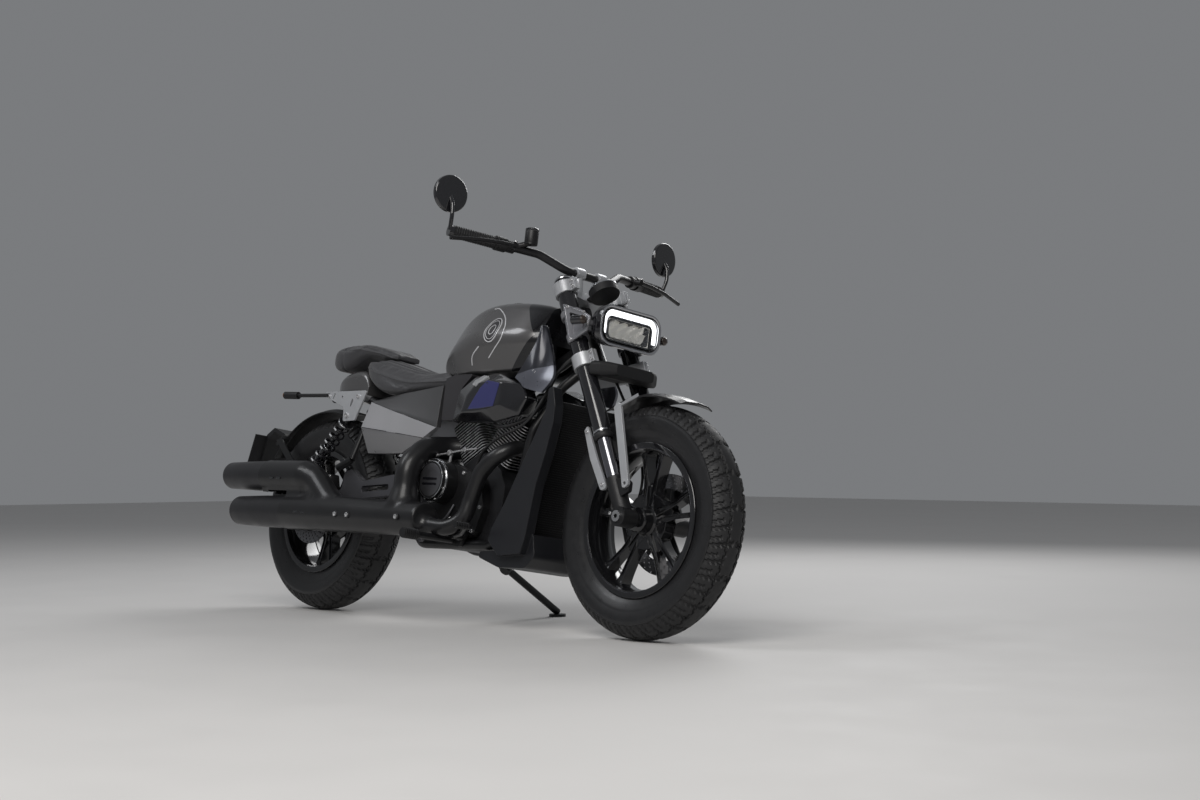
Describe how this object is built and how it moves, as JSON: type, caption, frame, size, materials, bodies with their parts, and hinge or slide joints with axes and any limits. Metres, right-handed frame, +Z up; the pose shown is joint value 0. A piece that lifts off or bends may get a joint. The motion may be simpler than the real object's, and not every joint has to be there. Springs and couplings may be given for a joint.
{
  "type": "cruiser motorcycle",
  "caption": "Cruiser motorcycle with a V-twin engine, low seat, fat tyres and twin stacked silencers, parked leaning on its side stand.",
  "frame": {"origin": "on the ground under the middle of the parked machine's box", "axes": "+X forward along the machine, +Y to the rider's left, +Z up"},
  "size_m": [2.2289, 0.952, 1.2846],
  "materials": {
    "frame_black": "satin black paint",
    "engine_black": "satin black casting",
    "fin_metal": "black with machined fin edges",
    "cover_grey": "dark grey casting",
    "exhaust_black": "matt black heat paint",
    "tank_paint": "satin gunmetal metallic",
    "gloss_black": "gloss black",
    "panel_blue": "satin blue-grey",
    "panel_silver": "satin silver grey",
    "trim_grey": "satin dark grey",
    "radiator_black": "black core",
    "shroud_paint": "satin blue-grey",
    "seat_cover": "matt grain",
    "cast_silver": "satin silver",
    "arm_grey": "satin grey",
    "bright_steel": "ground",
    "chain_steel": "oiled",
    "trim_black": "matt black",
    "lamp_red": "red lens",
    "cast_black": "satin black",
    "polished_steel": "polished",
    "grip_rubber": "matt rubber",
    "lamp_glass": "clear",
    "tyre_rubber": "black tyre",
    "wheel_black": "gloss black with machined edges"
  },
  "bodies": {
    "chassis": {"frame": "frame_black", "crankcase": "engine_black", "cylinders": "fin_metal", "engine_covers": "cover_grey", "silencers": "exhaust_black", "exhaust_headers": "exhaust_black", "fuel_tank": "tank_paint", "air_pods": "gloss_black", "cables": "grip_rubber", "tank_side_panels": "panel_blue", "side_covers": "panel_silver", "column_covers": "trim_grey", "radiator_shroud": "shroud_paint", "radiator": "radiator_black", "seat": "seat_cover", "pillion_pad": "seat_cover", "tail_cowl": "tank_paint", "tail_brackets": "cast_silver", "rear_shocks": "gloss_black", "swingarm": "arm_grey", "rear_axle": "bright_steel", "drive_chain": "chain_steel", "chain_guard": "trim_black", "rear_fender": "trim_black", "rear_indicators": "trim_black", "tail_lamp": "lamp_red", "footpegs": "frame_black", "rear_caliper": "cast_black"},
    "fork": {"handlebar": "frame_black", "fork_tubes": "gloss_black", "fork_stanchions": "polished_steel", "fork_feet": "cast_black", "front_axle": "bright_steel", "upper_yoke": "cast_silver", "lower_yoke": "cast_silver", "grips": "grip_rubber", "hand_controls": "cast_black", "mirrors": "gloss_black", "headlight_shell": "gloss_black", "headlight_lens": "lamp_glass", "headlight_brackets": "cast_silver", "front_indicators": "trim_black", "instrument": "trim_black", "horn_cover": "trim_black", "front_fender": "gloss_black", "fender_stays": "cast_silver", "front_caliper": "cast_black", "brake_hose": "grip_rubber"},
    "front_wheel": {"front_disc": "bright_steel", "front_tyre": "tyre_rubber", "front_rim": "wheel_black"},
    "rear_wheel": {"rear_disc": "bright_steel", "rear_sprocket": "chain_steel", "rear_tyre": "tyre_rubber", "rear_rim": "wheel_black"},
    "stand": {"side_stand": "frame_black"}
  },
  "joints": [
    {"name": "steering", "type": "hinge", "parent": "chassis", "child": "fork", "pos_m": [0.47341, -0.05421, 0.80909], "axis": [-0.4694, 0.132, 0.8731], "range_deg": [-34, 34]},
    {"name": "front_wheel_spin", "type": "hinge", "parent": "fork", "child": "front_wheel", "pos_m": [0.79449, -0.12861, 0.31719], "axis": [0, 0.9888, -0.1495], "continuous": true},
    {"name": "rear_wheel_spin", "type": "hinge", "parent": "chassis", "child": "rear_wheel", "pos_m": [-0.66551, -0.12978, 0.30941], "axis": [0, 0.9888, -0.1495], "continuous": true},
    {"name": "stand_fold", "type": "hinge", "parent": "chassis", "child": "stand", "pos_m": [0.06948, -0.02327, 0.15771], "axis": [-0.1614, 0.7784, 0.6066], "range_deg": [0, 80]}
  ]
}
